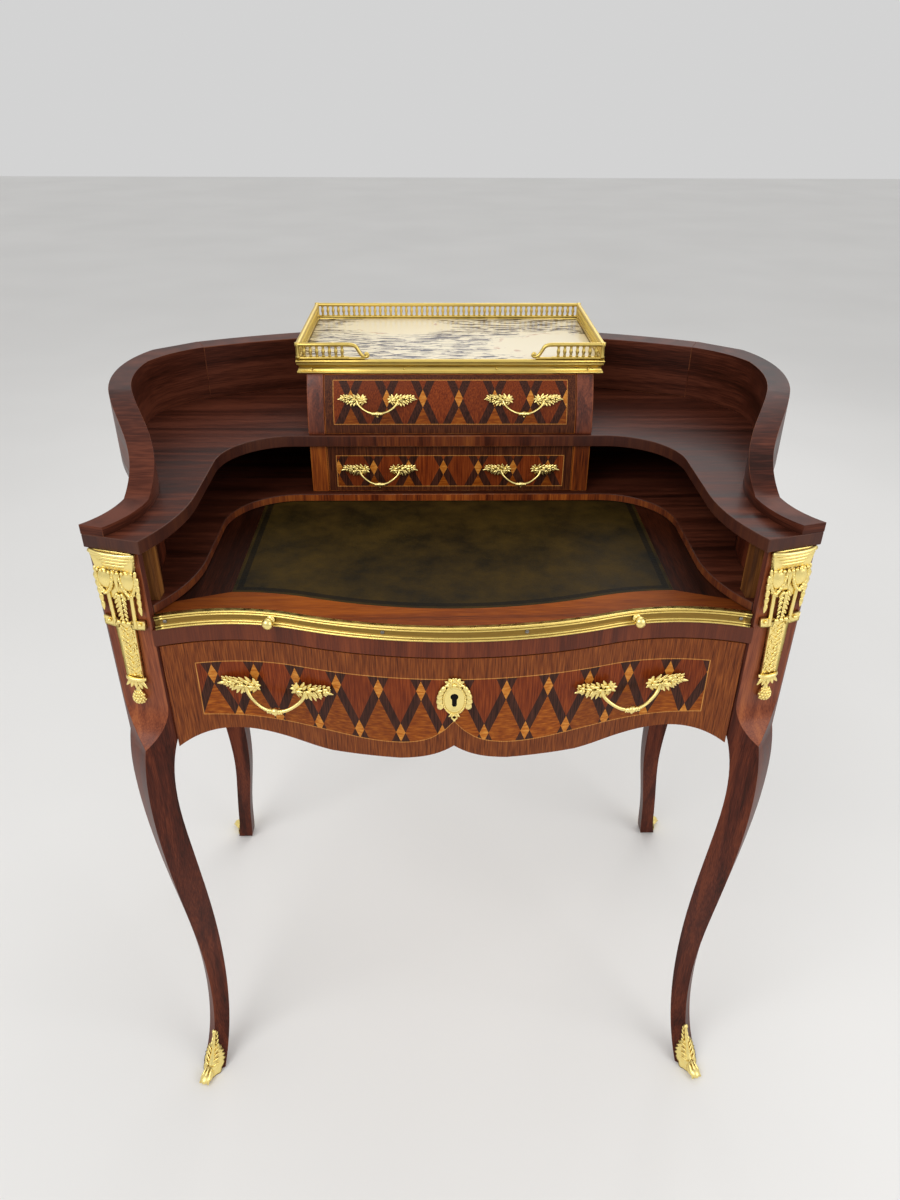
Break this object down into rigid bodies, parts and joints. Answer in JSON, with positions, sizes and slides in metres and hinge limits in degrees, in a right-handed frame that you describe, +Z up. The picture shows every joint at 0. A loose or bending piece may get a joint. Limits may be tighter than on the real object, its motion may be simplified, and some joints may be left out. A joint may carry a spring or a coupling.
{
  "type": "writing desk",
  "caption": "Lady's writing desk on cabriole legs: serpentine drawer, leather-lined pull-out slide, swept rim, small cabinet with marble top and gallery, gilt mounts.",
  "frame": {"origin": "middle of the desk's outline on the floor", "axes": "+X to the sitter's right, +Y to the back, +Z up"},
  "size_m": [0.8064, 0.565, 0.935],
  "materials": {
    "kingwood": "french polished",
    "oak": "bare",
    "marquetry": "french polished",
    "gilt_brass": "gilt",
    "lock_steel": "worn",
    "marble": "polished",
    "leather": "waxed"
  },
  "bodies": {
    "carcass": {"leg_front_left": "kingwood", "leg_front_right": "kingwood", "leg_rear_left": "kingwood", "leg_rear_right": "kingwood", "side_panel_left": "kingwood", "side_panel_right": "kingwood", "back_panel": "kingwood", "front_rail": "kingwood", "inner_top": "kingwood", "upper_shelf": "kingwood", "rim_left": "kingwood", "rim_right": "kingwood", "rim_back": "kingwood", "cabinet_lower_left": "kingwood", "cabinet_lower_right": "kingwood", "cabinet_upper_left": "kingwood", "cabinet_upper_right": "kingwood", "bearer_left": "oak", "bearer_right": "oak", "runner_left": "oak", "runner_right": "oak", "dust_board": "oak", "cabinet_top": "oak", "glue_blocks": "oak", "drawer_stops": "oak", "sabot_front_left": "gilt_brass", "sabot_front_right": "gilt_brass", "sabot_rear_left": "gilt_brass", "sabot_rear_right": "gilt_brass", "chute_left": "gilt_brass", "chute_right": "gilt_brass", "gallery_moulding": "gilt_brass", "gallery_fence": "gilt_brass", "marble_top": "marble"},
    "frieze_drawer": {"frieze_front": "marquetry", "frieze_side_left": "oak", "frieze_side_right": "oak", "frieze_back": "oak", "frieze_bottom": "oak", "frieze_handle_left": "gilt_brass", "frieze_handle_right": "gilt_brass", "handle_nuts": "gilt_brass", "escutcheon": "gilt_brass", "lock_case": "lock_steel"},
    "lock_bolt": {"lock_bolt": "lock_steel"},
    "writing_slide": {"slide_board": "kingwood", "slide_leather": "leather", "slide_brass_edge": "gilt_brass", "slide_pulls": "gilt_brass"},
    "upper_drawer": {"upper_drawer_sides": "oak", "upper_drawer_back": "oak", "upper_drawer_bottom": "oak", "upper_drawer_front": "marquetry", "upper_drawer_handles": "gilt_brass"},
    "lower_drawer": {"lower_drawer_sides": "oak", "lower_drawer_back": "oak", "lower_drawer_bottom": "oak", "lower_drawer_front": "marquetry", "lower_drawer_handles": "gilt_brass"}
  },
  "joints": [
    {"name": "frieze_drawer_slide", "type": "slide", "parent": "carcass", "child": "frieze_drawer", "axis": [0, -1, 0], "range_m": [0, 0.28]},
    {"name": "writing_slide_pull", "type": "slide", "parent": "carcass", "child": "writing_slide", "axis": [0, -1, 0], "range_m": [0, 0.2]},
    {"name": "upper_drawer_slide", "type": "slide", "parent": "carcass", "child": "upper_drawer", "axis": [0, -1, 0], "range_m": [0, 0.11]},
    {"name": "lower_drawer_slide", "type": "slide", "parent": "carcass", "child": "lower_drawer", "axis": [0, -1, 0], "range_m": [0, 0.125]},
    {"name": "lock_bolt_throw", "type": "slide", "parent": "frieze_drawer", "child": "lock_bolt", "axis": [0, 0, 1], "range_m": [0, 0.008]}
  ]
}
